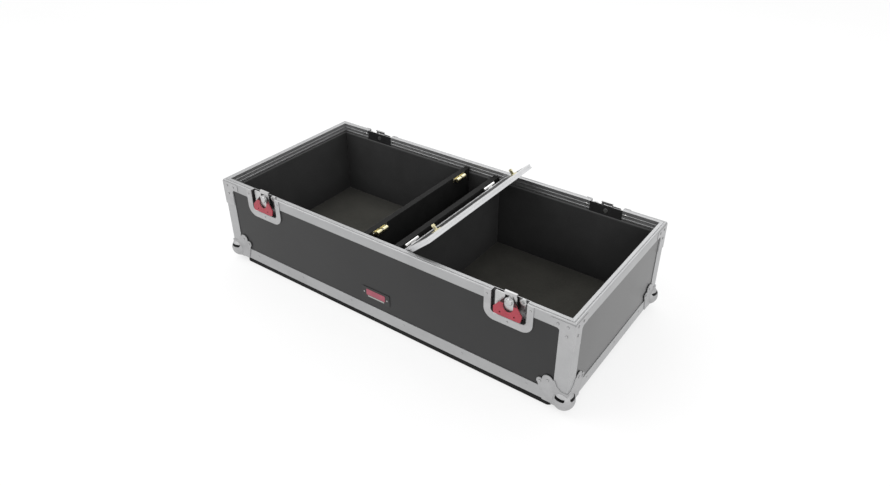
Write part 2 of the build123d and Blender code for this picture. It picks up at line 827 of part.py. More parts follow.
def badge_plate():
    half = badge_length / 2
    low = badge_centre_height - badge_height / 2
    face = rectangle(-half, half, low, low + badge_height)
    face = fillet(face.vertices(), badge_radius)
    return on_wall(wall_plate(face, 0, sheet), "front")


def badge_label():
    half = badge_label_length / 2
    low = badge_centre_height + badge_label_rise - badge_label_height / 2
    face = rectangle(-half, half, low, low + badge_label_height)
    face = fillet(face.vertices(), 1.5)
    return on_wall(wall_plate(face, -badge_label_thickness, 0), "front")


def corner_rivets():
    """The rivets of one brace and one ball corner, on both of its walls."""
    near_x, near_z, near_r = ball_lobe_near
    far_x, far_z, far_r = ball_lobe_far
    top = case_height - brace_top_margin
    brace_places = [(16, top - 11), (40, top - 11), (17, top - 36)]
    heads = [wall_rivet(x, z, -brace_thickness, rivet_radius, rivet_height) for x, z in brace_places]
    ball_places = [(near_x, near_z), (far_x, far_z)]
    heads += [wall_rivet(x, z, -ball_plate, rivet_radius, rivet_height) for x, z in ball_places]
    diagonal = Plane(origin=(0, 0, 0), x_dir=(0, 0, 1), z_dir=(1, -1, 0))
    return heads + [mirror(head, about=diagonal) for head in heads]


def edge_rivets(side, half):
    """Small rivets along a bottom angle, evenly spaced between the ball corners."""
    first = half - ball_lobe_far[0] - ball_lobe_far[2] - 25
    count = max(2, round(2 * first / edge_rivet_pitch) + 1)
    step = 2 * first / (count - 1)
    places = [-first + step * index for index in range(count)]
    heads = [wall_rivet(x, bottom_leg * 0.6, 0, small_rivet_radius, small_rivet_height * 0.6) for x in places]
    return [on_wall(head, side) for head in heads]


def latch_rivets(side):
    """The rivets of both dishes on one wall, with their closed ends inside the rim."""
    heads = []
    for centre in (-latch_centre, latch_centre):
        for across in (-dish_rivet_half, dish_rivet_half):
            place = centre + across
            heads.append(wall_rivet(place, dish_rivet_height, -sheet, small_rivet_radius, small_rivet_height))
            inner = Pos(place, rim_depth, dish_rivet_height) * Rot(-90, 0, 0)
            heads.append(inner * rivet_head(rivet_radius, rivet_height))
        foot = dish_foot + dish_flange_foot / 2
        heads.append(wall_rivet(centre, foot, -sheet, small_rivet_radius, small_rivet_height))
    return [on_wall(head, side) for head in heads]


def case_rivets():
    heads = []
    for side_x, side_y in every_corner():
        heads += [on_corner(head, side_x, side_y) for head in corner_rivets()]
    for side, half in (("front", half_length), ("rear", half_length), ("left", half_width), ("right", half_width)):
        heads += edge_rivets(side, half)
    heads += latch_rivets("front") + latch_rivets("rear")
    for across in (-badge_rivet_half, badge_rivet_half):
        head = wall_rivet(across, badge_centre_height, 0, small_rivet_radius, small_rivet_height)
        heads.append(on_wall(head, "front"))
    return Compound(children=heads)


def case_screws():
    """Screw heads of the hinges' fixed leaves and of the catches."""
    heads = []
    for y in hinge_places:
        for along in (-hinge_length * 0.34, 0, hinge_length * 0.34):
            height = hinge_axis_height - hinge_leaf_drop * 0.62
            turn = Pos(divider_face + hinge_leaf, y + along, height) * Rot(0, 90, 0)
            heads.append(turn * rivet_head(small_rivet_radius, 0.7))
        for along in (-catch_length / 2 + 4, catch_length / 2 - 4):
            turn = Pos(catch_face + catch_plate, y + along, catch_height) * Rot(0, 90, 0)
            heads.append(turn * rivet_head(small_rivet_radius, 0.7))
    return raised(Compound(children=heads))


def pair(shape):
    """Two copies of a piece drawn at Y = 0, at the two hinge and catch places."""
    return Compound(children=[Pos(0, y, 0) * shape for y in hinge_places])


def fixed_nodes():
    """Every piece that belongs to the case itself."""
    bay_left = -half_length + panel_inner
    bay_right = half_length - panel_inner
    utility = utility_bay_width / 2
    middle = utility + divider_thickness / 2
    nodes = {
        "front_panel": on_wall(long_panel(), "front"),
        "rear_panel": on_wall(long_panel(), "rear"),
        "left_end_panel": on_wall(end_panel(), "left"),
        "right_end_panel": on_wall(end_panel(), "right"),
        "floor_panel": floor_panel(),
        "underside_board": underside_board(),
        "front_rim": on_wall(long_rim(), "front"),
        "rear_rim": on_wall(long_rim(), "rear"),
        "left_rim": on_wall(rim_bar(half_width), "left"),
        "right_rim": on_wall(rim_bar(half_width), "right"),
        "corner_angles": Compound(children=[on_corner(corner_angle(), *c) for c in every_corner()]),
        "front_bottom_angle": on_wall(bottom_angle(half_length), "front"),
        "rear_bottom_angle": on_wall(bottom_angle(half_length), "rear"),
        "left_bottom_angle": on_wall(bottom_angle(half_width), "left"),
        "right_bottom_angle": on_wall(bottom_angle(half_width), "right"),
        "ball_corners": Compound(children=[on_corner(ball_corner(), *c) for c in every_corner()]),
        "corner_braces": Compound(children=[on_corner(corner_brace(), *c) for c in every_corner()]),
        "case_rivets": case_rivets(),
        "case_screws": case_screws(),
        "left_divider": divider(-middle),
        "right_divider": divider(middle),
        "left_bay_wall_foam": bay_walls(bay_left, -divider_face, -1),
        "left_bay_floor_mat": bay_mat(bay_left + wall_foam, -divider_face - wall_foam),
        "utility_bay_wall_foam": bay_walls(-utility, utility, 0),
        "utility_bay_floor_mat": bay_mat(-utility, utility),
        "right_bay_wall_foam": bay_walls(divider_face, bay_right, 1),
        "right_bay_floor_mat": bay_mat(divider_face + wall_foam, bay_right - wall_foam),
        "badge_plate": badge_plate(),
        "badge_label": badge_label(),
        "hinge_fixed_leaves": raised(pair(fixed_leaf())),
        "hinge_pins": raised(pair(hinge_pin())),
        "catch_bodies": raised(pair(catch_body())),
        "catch_springs": raised(pair(Compound(children=[catch_spring(-1), catch_spring(1)]))),
    }
    return nodes


def catch_balls():
    """The four balls, each free to slide back into its barrel."""
    nodes = {}
    for place, y in zip(("front", "rear"), hinge_places):
        for name, side in (("near", -1), ("far", 1)):
            nodes[f"{place}_catch_{name}_ball"] = raised(Pos(0, y, 0) * catch_ball(side))
    return nodes


def latch_nodes():
    """The four latches, and their padlock eyes together."""
    dish, cam, wing, hook, eye = latch_dish(), latch_cam(), latch_wing(), latch_hook(), padlock_eye()
    nodes = {}
    eyes = []
    for side in ("front", "rear"):
        for name, sign in (("left", -1), ("right", 1)):
            for piece, shape in (("dish", dish), ("cam", cam), ("wing", wing), ("hook", hook)):
                nodes[f"{side}_{name}_latch_{piece}"] = at_latch(shape, side, sign)
            eyes.append(at_latch(eye, side, sign))
    nodes["latch_padlock_eyes"] = Compound(children=eyes)
    return nodes


def lid_nodes():
    """The utility bay lid, open, with what it carries."""
    seats = pair(spear_seat())
    hinge_trim = lid_side_trim(1)
    free_trim = lid_side_trim(-1)
    panel = lid_panel()
    for seat in seats.solids():
        panel -= seat
        free_trim -= seat
    return {
        "lid_panel": swing_open(panel),
        "lid_free_edge_trim": swing_open(free_trim),
        "lid_hinge_edge_trim": swing_open(hinge_trim),
        "lid_end_trims": swing_open(lid_end_trims()),
        "lid_spears": swing_open(pair(spear())),
        "hinge_moving_leaves": swing_open(pair(moving_leaf())),
    }


def write_nodes(nodes):
    os.makedirs("parts", exist_ok=True)
    for name, shape in nodes.items():
        solids = shape.solids()
        whole = solids[0] if len(solids) == 1 else Compound(children=list(solids))
        export_step(whole, f"parts/{name}.step")


write_nodes({**fixed_nodes(), **latch_nodes(), **catch_balls(), **lid_nodes()})
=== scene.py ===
import math

import bmesh
import bpy
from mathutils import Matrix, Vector, noise


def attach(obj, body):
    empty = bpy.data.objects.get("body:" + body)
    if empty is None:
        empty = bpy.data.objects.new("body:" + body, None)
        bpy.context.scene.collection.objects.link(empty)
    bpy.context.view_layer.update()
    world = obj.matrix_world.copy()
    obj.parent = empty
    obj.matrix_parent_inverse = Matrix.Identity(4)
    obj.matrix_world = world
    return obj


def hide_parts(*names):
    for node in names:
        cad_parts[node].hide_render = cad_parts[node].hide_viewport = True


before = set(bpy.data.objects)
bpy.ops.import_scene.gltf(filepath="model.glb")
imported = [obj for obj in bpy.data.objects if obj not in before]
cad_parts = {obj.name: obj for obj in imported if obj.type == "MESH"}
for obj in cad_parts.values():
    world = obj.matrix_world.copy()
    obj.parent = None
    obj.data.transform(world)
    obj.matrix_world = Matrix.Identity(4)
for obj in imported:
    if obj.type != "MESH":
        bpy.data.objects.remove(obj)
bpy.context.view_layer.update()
MM = 0.001

# Sizes shared with the CAD model, in millimetres. Heights are over the underside board, and
# depths run inwards from the case's outer faces.
HALF_X, HALF_Y, BASE = 553.5, 253.0, 18.0
PANEL_IN, FOAM_IN = 13.5, 22.5
FLOOR_TOP, MAT_TOP, FOAM_TOP, LEAF_FOAM_TOP = 10.5, 14.5, 217.0, 198.0
DIVIDER_OUT, DIVIDER_IN = 58.0, 43.0
LATCH_X = 391.5
POCKET_HALF, POCKET_FOOT, POCKET_DEPTH = 48.0, 183.5, 17.7
NOTCH_LENGTH, NOTCH_DROP, NOTCH_SLOPE = 30.0, 7.0, 20.0
PAN_HALF, PAN_FLOOR, PAN_LIP, PAN_TOP = 45.5, 14.0, 1.6, 243.4
SLOT_X, SLOT_Z, SLOT_HALF_X, SLOT_HALF_Z = 14.0, 30.0, 13.2, 3.3
SLOT_REACH = (-14.0, -0.5)
GUIDES, GUIDE_Z, GUIDE_RADIUS, GUIDE_DEPTH = (-30.0, 11.0), 200.5, 4.6, 6.5
BOSS_BACK = 1.3
HORN_Z, HORN_HALF_Z, HORN_ENDS = 228.5, 3.4, (12.0, 18.0)
CORNER_REACH, END_SKIN, RIM_DEPTHS = 40, 4, (10.0, 30.0)
BADGE_STRIP = (27.0, 62.5, 66.5)

# How near a face lies to be taken as on a surface, and how much of its normal faces outwards
SIDE_NEAR, BACK_NEAR = 0.2, 0.3
INNER_SIDE, HEAD_EDGE = 0.5, 0.9

# The foam sheets' grid and edges, in millimetres
GRID_STEP, LEAST_STEP, BREAK_GAP = 11, 0.2, 0.25
EDGE_STEPS, EDGE_REACH = (0, 0.4, 1.0, 1.9, 3.0, 4.5), 6
EDGE_RADIUS, SOFT_REACH, BACK_GAP, POCKET_GAP = 3.4, 14, 0.02, 0.1
SHARP_ANGLE = math.radians(50)

# The camera that was fitted to the photo
PHOTO_WIDTH, FOCAL_PIXELS, SENSOR_WIDTH = 890, 714.234, 36.0
CAMERA_PLACE = (1.00537, -1.33969, 1.20500)
CAMERA_TURN = (0.996933, 0.001515, 0.624658)

# The colour sockets of Blender's Mix node
MIX_A, MIX_B, MIX_RESULT = 6, 7, 2


def grey(v, tint=(1, 1, 1)):
    """A linear grey, or a near grey with a tint."""
    return (v * tint[0], v * tint[1], v * tint[2], 1.0)


# Materials
class Surface:
    """A principled material with its own noise, colour and bump nodes in object space."""

    def __init__(self, name, metallic=0.0, **constants):
        self.mat = bpy.data.materials.new(name)
        self.mat.use_nodes = True
        self.tree = self.mat.node_tree
        self.bsdf = self.tree.nodes["Principled BSDF"]
        self.bsdf.inputs["Metallic"].default_value = metallic
        for key, value in constants.items():
            self.bsdf.inputs[key.replace("_", " ")].default_value = value
        self.coords = self.node("ShaderNodeTexCoord").outputs["Object"]

    def node(self, kind, **settings):
        n = self.tree.nodes.new(kind)
        for key, value in settings.items():
            setattr(n, key, value)
        return n

    def link(self, a, b):
        self.tree.links.new(a, b)

    def stretch(self, scale):
        m = self.node("ShaderNodeMapping")
        self.link(self.coords, m.inputs["Vector"])
        m.inputs["Scale"].default_value = scale
        return m.outputs["Vector"]

    def noise(self, scale, detail=4.0, rough=0.55, vector=None, distortion=0.0):
        n = self.node("ShaderNodeTexNoise")
        self.link(vector or self.coords, n.inputs["Vector"])
        n.inputs["Scale"].default_value = scale
        n.inputs["Detail"].default_value = detail
        n.inputs["Roughness"].default_value = rough
        n.inputs["Distortion"].default_value = distortion
        return n.outputs["Fac"]

    def cells(self, scale):
        n = self.node("ShaderNodeTexVoronoi")
        self.link(self.coords, n.inputs["Vector"])
        n.inputs["Scale"].default_value = scale
        return n.outputs["Distance"]

    def ramp(self, fac, *stops):
        n = self.node("ShaderNodeValToRGB")
        self.link(fac, n.inputs["Fac"])
        while len(n.color_ramp.elements) < len(stops):
            n.color_ramp.elements.new(0.5)
        for e, (at, colour) in zip(n.color_ramp.elements, stops):
            e.position = at
            e.color = colour
        return n.outputs["Color"]

    def span(self, fac, low, high, start=0.0, stop=1.0):
        """The part of fac from start to stop, spread from low to high."""
        n = self.node("ShaderNodeMapRange")
        self.link(fac, n.inputs["Value"])
        for key, value in (("From Min", start), ("From Max", stop), ("To Min", low), ("To Max", high)):
            n.inputs[key].default_value = value
        return n.outputs["Result"]

    def mix(self, fac, base, colour):
        """A colour laid over the base, as far as fac says."""
        n = self.node("ShaderNodeMix", data_type="RGBA")
        self.link(fac, n.inputs["Factor"])
        self.link(base, n.inputs[MIX_A])
        n.inputs[MIX_B].default_value = colour
        return n.outputs[MIX_RESULT]

    def maths(self, kind, a, b=None):
        n = self.node("ShaderNodeMath", operation=kind)
        for i, v in enumerate((a, b)):
            if v is None:
                continue
            if hasattr(v, "is_linked"):
                self.link(v, n.inputs[i])
            else:
                n.inputs[i].default_value = v
        return n.outputs[0]

    def colour(self, out):
        self.link(out, self.bsdf.inputs["Base Color"])

    def roughness(self, out):
        self.link(out, self.bsdf.inputs["Roughness"])

    def relief(self, *layers, edge=0.0):
        """Bump layers, each (height, strength, distance in mm), over edges rounded by a bevel."""
        normal = None
        if edge:
            n = self.node("ShaderNodeBevel", samples=6)
            n.inputs["Radius"].default_value = edge * MM
            normal = n.outputs["Normal"]
        for height, strength, distance in layers:
            b = self.node("ShaderNodeBump")
            b.inputs["Strength"].default_value = strength
            b.inputs["Distance"].default_value = distance * MM
            self.link(height, b.inputs["Height"])
            if normal is not None:
                self.link(normal, b.inputs["Normal"])
            normal = b.outputs["Normal"]
        self.link(normal, self.bsdf.inputs["Normal"])

    def rim(self, radius=1.0):
        """How near an edge is, from a bevelled normal: 0 on flats, towards 1 on edges."""
        bevel = self.node("ShaderNodeBevel", samples=6)
        bevel.inputs["Radius"].default_value = radius * MM
        geo = self.node("ShaderNodeNewGeometry")
        dot = self.node("ShaderNodeVectorMath", operation="DOT_PRODUCT")
        self.link(bevel.outputs["Normal"], dot.inputs[0])
        self.link(geo.outputs["Normal"], dot.inputs[1])
        return self.span(dot.outputs["Value"], 1.0, 0.0, 0.72, 0.99)


def aluminium(name, along, tone):
    """Satin extrusion, with fine die lines along its length and a few handling marks."""
    s = Surface(name, metallic=1.0)
    squeeze = {"x": (0.02, 1, 1), "y": (1, 0.02, 1), "z": (1, 1, 0.02)}[along]
    lines = s.noise(900, 3, 0.6, s.stretch(squeeze))
    cloud = s.noise(14, 5, 0.6)
    marks = s.noise(160, 6, 0.7, distortion=0.6)
    dull, bright = grey(tone * 0.94, (1, 1.005, 1.015)), grey(tone * 1.05, (1, 1.004, 1.012))
    base = s.ramp(cloud, (0.3, dull), (0.7, bright))
    base = s.mix(s.span(marks, 0.0, 0.35, 0.6, 0.8), base, grey(tone * 0.72))
    s.colour(base)
    s.roughness(s.maths("ADD", s.span(lines, 0.42, 0.58), s.span(cloud, -0.03, 0.05)))
    s.relief((lines, 0.18, 0.12), (marks, 0.08, 0.15), edge=0.5)
    return s.mat


def laminate(name, gloss):
    """The dark phenolic face of the plywood: a fine stipple, faint scuffs and dust."""
    s = Surface(name, IOR=1.5, Coat_Weight=gloss, Coat_Roughness=0.3)
    s.bsdf.inputs["Specular IOR Level"].default_value = 0.36 + 0.2 * gloss
    stipple = s.noise(1500, 2, 0.5)
    cloud = s.noise(7, 4, 0.55)
    scuff = s.noise(60, 7, 0.7, s.stretch((1, 1, 2.2)), 0.8)
    base = s.ramp(cloud, (0.3, grey(0.0125, (1, 1, 1.02))), (0.72, grey(0.0165, (1, 1, 1.02))))
    base = s.mix(s.span(scuff, 0.0, 0.22, 0.62, 0.85), base, grey(0.045))
    s.colour(base)
    s.roughness(s.maths("ADD", s.span(stipple, 0.30, 0.40), s.span(cloud, -0.03, 0.05)))
    s.relief((stipple, 0.22, 0.08), edge=0.4)
    return s.mat


def black_board():
    """The painted board under the case, with a little grain."""
    s = Surface("black_board", IOR=1.45)
    s.bsdf.inputs["Specular IOR Level"].default_value = 0.2
    grain = s.noise(45, 6, 0.65, s.stretch((0.12, 1, 3)))
    pores = s.noise(700, 3, 0.6)
    s.colour(s.ramp(grain, (0.3, grey(0.006)), (0.75, grey(0.014))))
    s.roughness(s.span(pores, 0.68, 0.85))
    s.relief((grain, 0.25, 0.3), (pores, 0.2, 0.1), edge=1.2)
    return s.mat


def black_laminate():
    """The lid's own finer laminate."""
    s = Surface("black_laminate", IOR=1.45)
    stipple = s.noise(1300, 2, 0.5)
    cloud = s.noise(18, 5, 0.6)
    s.colour(s.ramp(cloud, (0.3, grey(0.008)), (0.7, grey(0.014))))
    s.roughness(s.span(stipple, 0.42, 0.56))
    s.relief((stipple, 0.25, 0.1), edge=0.5)
    return s.mat


def divider_paint():
    """Flat black paint over the dividers, with a painted highlight along its edges, in patches."""
    s = Surface("divider_paint", IOR=1.45)
    s.bsdf.inputs["Specular IOR Level"].default_value = 0.22
    cloud = s.noise(24, 5, 0.6)
    patch_noise = s.noise(140, 4, 0.6)
    base = s.ramp(cloud, (0.3, grey(0.008)), (0.7, grey(0.013)))
    # Painted highlight: a paler grey on the edges, broken into patches by the noise.
    pale_edge = s.maths("MULTIPLY", s.rim(1.1), s.span(patch_noise, 0.5, 1.0, 0.35, 0.6))
    s.colour(s.mix(pale_edge, base, grey(0.11)))
    s.roughness(s.span(patch_noise, 0.72, 0.88))
    s.relief((cloud, 0.15, 0.4), edge=0.8)
    return s.mat


def foam(name, dark, light, tint, weave=420.0, top_highlight=0.0):
    """Dense foam with a short brushed pile, pressed unevenly and dusty in places, with painted shade in
    its hollows.
    A top highlight is a painted paler tone on what faces up."""
    s = Surface(name, Roughness=0.95, Sheen_Roughness=0.5)
    s.bsdf.inputs["Sheen Weight"].default_value = 0.12
    s.bsdf.inputs["Specular IOR Level"].default_value = 0.22
    pile = s.noise(weave, 5, 0.75)
    knots = s.cells(weave * 1.6)
    press = s.noise(9, 4, 0.6, distortion=0.4)
    base = s.ramp(press, (0.28, grey(dark, tint)), (0.74, grey(light, tint)))
    base = s.mix(s.span(pile, 0.0, 0.55, 0.42, 0.72), base, grey(light * 1.35, tint))
    # Painted shade: darker where the foam lies in hollows and corners.
    hollow_shade = s.node("ShaderNodeAmbientOcclusion", samples=4)
    hollow_shade.inputs["Distance"].default_value = 0.07
    base = s.mix(s.span(hollow_shade.outputs["AO"], 0.55, 0.0, 0.5, 1.0), base, grey(dark * 0.35, tint))
    # Painted highlight: paler on the faces that look up.
    if top_highlight:
        split = s.node("ShaderNodeSeparateXYZ")
        s.link(s.node("ShaderNodeNewGeometry").outputs["Normal"], split.inputs[0])
        base = s.mix(s.span(split.outputs["Z"], 0.0, 1.0, 0.55, 0.9), base, grey(top_highlight, tint))
    s.colour(base)
    s.roughness(s.span(press, 0.86, 0.98))
    s.relief((press, 0.35, 2.0), (pile, 0.6, 0.5), (knots, 0.25, 0.25))
    return s.mat


def plated(name, tone, rough=(0.28, 0.42), tint=(1, 1, 1), spangle=0.12):
    """Bright zinc or nickel plate over pressed steel."""
    s = Surface(name, metallic=1.0)
    cloud = s.noise(35, 5, 0.6)
    grains = s.cells(420)
    fine = s.noise(900, 3, 0.6)
    base = s.ramp(cloud, (0.3, grey(tone * 0.9, tint)), (0.72, grey(tone * 1.06, tint)))
    base = s.mix(s.span(grains, 0.0, spangle, 0.2, 0.6), base, grey(tone * 0.7, tint))
    s.colour(base)
    s.roughness(s.span(fine, *rough))
    s.relief((cloud, 0.1, 0.5), (fine, 0.12, 0.08), edge=0.5)
    return s.mat


def enamel():
    """Red enamel on the wings, rubbed thin on the edges and chipped in a few spots."""
    s = Surface("red_enamel", Coat_Weight=0.25, Coat_Roughness=0.15, IOR=1.5)
    cloud = s.noise(60, 4, 0.6)
    chips = s.noise(330, 5, 0.75)
    edge = s.rim(0.7)
    base = s.ramp(cloud, (0.3, (0.27, 0.016, 0.032, 1)), (0.75, (0.35, 0.024, 0.044, 1)))
    pale_edge = s.maths("MULTIPLY", edge, s.span(chips, 0.0, 1.0, 0.5, 0.62))
    s.colour(s.mix(pale_edge, base, grey(0.30)))
    s.roughness(s.span(cloud, 0.30, 0.44))
    s.relief((chips, 0.06, 0.1), edge=0.7)
    return s.mat


def polished(name, tone):
    """Chrome on the domed bosses, with painted shade on the side that faces down and to the right."""
    s = Surface(name, metallic=1.0)
    cloud = s.noise(60, 4, 0.6)
    fine = s.noise(900, 3, 0.6)
    # Painted shade: darker where the normal turns down and to the right.
    side = s.node("ShaderNodeVectorMath", operation="DOT_PRODUCT")
    s.link(s.node("ShaderNodeNewGeometry").outputs["Normal"], side.inputs[0])
    side.inputs[1].default_value = (0.72, 0.10, -0.69)
    base = s.ramp(cloud, (0.3, grey(tone * 0.9)), (0.72, grey(tone * 1.1)))
    s.colour(s.mix(s.span(side.outputs["Value"], 0.0, 0.85, 0.05, 0.6), base, grey(tone * 0.15)))
    s.roughness(s.span(fine, 0.10, 0.18))
    s.relief((cloud, 0.15, 0.5), edge=0.8)
    return s.mat


def brass():
    """Bright brass of the catches and spears."""
    s = Surface("brass", metallic=1.0)
    cloud = s.noise(90, 5, 0.6)
    fine = s.noise(1100, 3, 0.6)
    s.colour(s.ramp(cloud, (0.3, (0.76, 0.69, 0.42, 1)), (0.75, (0.90, 0.85, 0.60, 1))))
    s.roughness(s.span(fine, 0.22, 0.38))
    s.relief((fine, 0.12, 0.1), edge=0.4)
    return s.mat


def plastic(name, a, b, rough=(0.4, 0.55), strip=None):
    """Printed plastic. A strip is a plain light bar on it, as half width, foot and top."""
    s = Surface(name, IOR=1.48)
    cloud = s.noise(80, 4, 0.6)
    fine = s.noise(1200, 2, 0.5)
    base = s.ramp(cloud, (0.3, a), (0.75, b))
    if strip:
        half, foot, top = strip
        place = s.node("ShaderNodeSeparateXYZ")
        s.link(s.coords, place.inputs[0])
        along = s.maths("LESS_THAN", s.maths("ABSOLUTE", place.outputs["X"]), half * MM)
        over = s.maths("GREATER_THAN", place.outputs["Z"], (BASE + foot) * MM)
        under = s.maths("LESS_THAN", place.outputs["Z"], (BASE + top) * MM)
        inside = s.maths("MULTIPLY", along, s.maths("MULTIPLY", over, under))
        base = s.mix(inside, base, grey(0.34, (1, 1, 0.96)))
    s.colour(base)
    s.roughness(s.span(fine, *rough))
    s.relief((fine, 0.15, 0.08), edge=0.4)
    return s.mat


# One copy per direction of the die lines; their small tone differences are painted light and shade,
# darkest on the parts along the front and rear.
ALU = {
    "x": aluminium("aluminium_x", along="x", tone=0.44),
    "y": aluminium("aluminium_y", along="y", tone=0.47),
    "z": aluminium("aluminium_z", along="z", tone=0.46),
}
# The lid's trims: the same aluminium with a much paler tone, which is a painted highlight.
LID_ALU_LIT = aluminium("lid_trim_aluminium_lit", along="y", tone=0.70)
LAMINATE = laminate("laminated_plywood", gloss=0.0)
END_LAMINATE = laminate("laminated_plywood_ends", gloss=0.5)
BOARD = black_board()
LID_FACE = black_laminate()
WALL_FOAM = foam("black_foam", dark=0.018, light=0.030, tint=(1, 1, 1.01), top_highlight=0.06)
MAT_FOAM = foam("floor_mat", dark=0.031, light=0.050, tint=(1.03, 1.0, 0.86), weave=330.0)
DIVIDER = divider_paint()
ZINC = plated("bright_zinc", tone=0.56)
NICKEL = plated("bright_nickel", tone=0.86, rough=(0.12, 0.24), tint=(1, 0.995, 0.98), spangle=0.04)
CORNER = plated("corner_zinc", tone=0.48, rough=(0.36, 0.52), tint=(1, 1.0, 1.01), spangle=0.08)
BALL = plated("ball_zinc", tone=0.48, rough=(0.54, 0.70), tint=(1, 1.0, 1.01), spangle=0.08)
CHROME = polished("chrome_head", tone=0.52)
# Darker copies of the plate that stand for painted shade: in the latch pans, in the ball corners' slots
# and on the rivets' sloping edges.
PAN_SIDE_SHADE = plated("pan_side", tone=0.17, rough=(0.4, 0.55), tint=(1.03, 1, 1), spangle=0.05)
DEEP_SHADE = plated("painted_deep_shade", tone=0.10, rough=(0.4, 0.55), tint=(1, 1, 1.02), spangle=0.05)
MID_SHADE = plated("pan_back", tone=0.24, rough=(0.3, 0.45), tint=(1, 1, 1.01), spangle=0.05)
RED = enamel()
RED_SHADE = plastic("red_shade", (0.020, 0.002, 0.003, 1), (0.035, 0.004, 0.006, 1), rough=(0.6, 0.8))
BRASS = brass()
BADGE = plastic("badge_black", grey(0.010), grey(0.018), strip=BADGE_STRIP)
LABEL = plastic("badge_red", (0.27, 0.050, 0.080, 1), (0.34, 0.070, 0.100, 1), rough=(0.3, 0.4))


def paint(mat, *names):
    """Give one material to whole CAD nodes."""
    for name in names:
        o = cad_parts[name]
        o.data.materials.clear()
        o.data.materials.append(mat)
        for poly in o.data.polygons:
            poly.material_index = 0


LATCHES = ["front_left", "front_right", "rear_left", "rear_right"]
paint(LAMINATE, "front_panel", "rear_panel", "floor_panel")
paint(END_LAMINATE, "left_end_panel", "right_end_panel")
paint(LID_FACE, "lid_panel")
paint(DIVIDER, "left_divider", "right_divider")
paint(BOARD, "underside_board")
paint(ALU["x"], "front_rim", "rear_rim", "front_bottom_angle", "rear_bottom_angle")
paint(ALU["y"], "left_rim", "right_rim", "left_bottom_angle", "right_bottom_angle")
paint(ALU["z"], "corner_angles")
paint(LID_ALU_LIT, "lid_free_edge_trim", "lid_hinge_edge_trim", "lid_end_trims")
paint(CORNER, "corner_braces", "case_rivets")
paint(BALL, "ball_corners")
paint(NICKEL, "hinge_fixed_leaves", "hinge_moving_leaves", "hinge_pins", "case_screws", "catch_springs")
paint(BRASS, "catch_bodies", "lid_spears")
paint(BADGE, "badge_plate")
paint(LABEL, "badge_label")
paint(ZINC, "latch_padlock_eyes")
for place in ("front_catch_near", "front_catch_far", "rear_catch_near", "rear_catch_far"):
    paint(NICKEL, place + "_ball")
for latch in LATCHES:
    paint(CORNER, latch + "_latch_dish")
    paint(CHROME, latch + "_latch_cam")
    paint(ZINC, latch + "_latch_hook")
    paint(RED, latch + "_latch_wing")


def touch_up(node, mat, where):
    """Give a second material to the faces of a node that lie where the test says."""
    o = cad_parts[node]
    o.data.materials.append(mat)
    extra = len(o.data.materials) - 1
    for poly in o.data.polygons:
        at = o.matrix_world @ poly.center / MM
        facing = (o.matrix_world.to_3x3() @ poly.normal).normalized()
        if where(at, facing):
            poly.material_index = extra


def depth_at(at):
    """How far a point lies inside the case's front or rear face."""
    return HALF_Y - abs(at.y)


def in_slot(across, up, depth):
    """The walls and the floor of a ball corner's slot, which get a painted deep shade."""
    inside = abs(across - SLOT_X) < SLOT_HALF_X and abs(up - SLOT_Z) < SLOT_HALF_Z
    return inside and SLOT_REACH[0] < depth < SLOT_REACH[1]


def ball_slot_face(at, facing):
    across, up = HALF_X - abs(at.x), at.z - BASE
    return in_slot(across, up, depth_at(at)) or in_slot(depth_at(at), up, across)


def pan_face(at, facing):
    """The faces inside a latch's pan, behind its rounded lip and under its top edge, which get a
    painted deep shade.
    """
    inside = abs(abs(at.x) - LATCH_X) < PAN_HALF + SIDE_NEAR
    return depth_at(at) > PAN_LIP and inside and at.z - BASE < PAN_TOP


def pan_back_face(at, facing):
    """The pan's back, seen from outside the case, which gets a paler painted shade."""
    at_back = abs(depth_at(at) - PAN_FLOOR) < BACK_NEAR
    return pan_face(at, facing) and at_back and facing.y * at.y > 0


def pan_side_face(at, facing):
    """The pan's inner sides and foot, which get a painted shade."""
    return pan_face(at, facing) and depth_at(at) < PAN_FLOOR and abs(facing.y) < INNER_SIDE


def horn_face(at, facing):
    """The ends of the wing's horns, in the shade of the lug."""
    across = abs(abs(at.x) - LATCH_X)
    return abs(at.z - BASE - HORN_Z) < HORN_HALF_Z and HORN_ENDS[0] < across < HORN_ENDS[1]


def guide_face(at, facing):
    """The round heads that hold the hook plate in its pan."""
    turn = 1 if at.y < 0 else -1
    across = (at.x - math.copysign(LATCH_X, at.x)) * turn
    near = min(abs(across - g) for g in GUIDES)
    return depth_at(at) < GUIDE_DEPTH and math.hypot(near, at.z - BASE - GUIDE_Z) < GUIDE_RADIUS


def behind_boss(at, facing):
    """The cam's lug, under its domed boss."""
    return depth_at(at) > BOSS_BACK


def rivet_side(at, facing):
    """The sloping edge of a rivet's head, which gets a painted shade ring."""
    on_long_wall = depth_at(at) < CORNER_REACH and abs(at.x) < HALF_X - END_SKIN
    flat = abs(facing.y) if on_long_wall else abs(facing.x)
    return flat < HEAD_EDGE


def rivet_inside(at, facing):
    """The closed ends of the latch rivets, inside the rim."""
    return abs(at.x) < HALF_X - CORNER_REACH and RIM_DEPTHS[0] < depth_at(at) < RIM_DEPTHS[1]


# Painted shade on the walls and floor of the ball corners' slots.
touch_up("ball_corners", DEEP_SHADE, ball_slot_face)
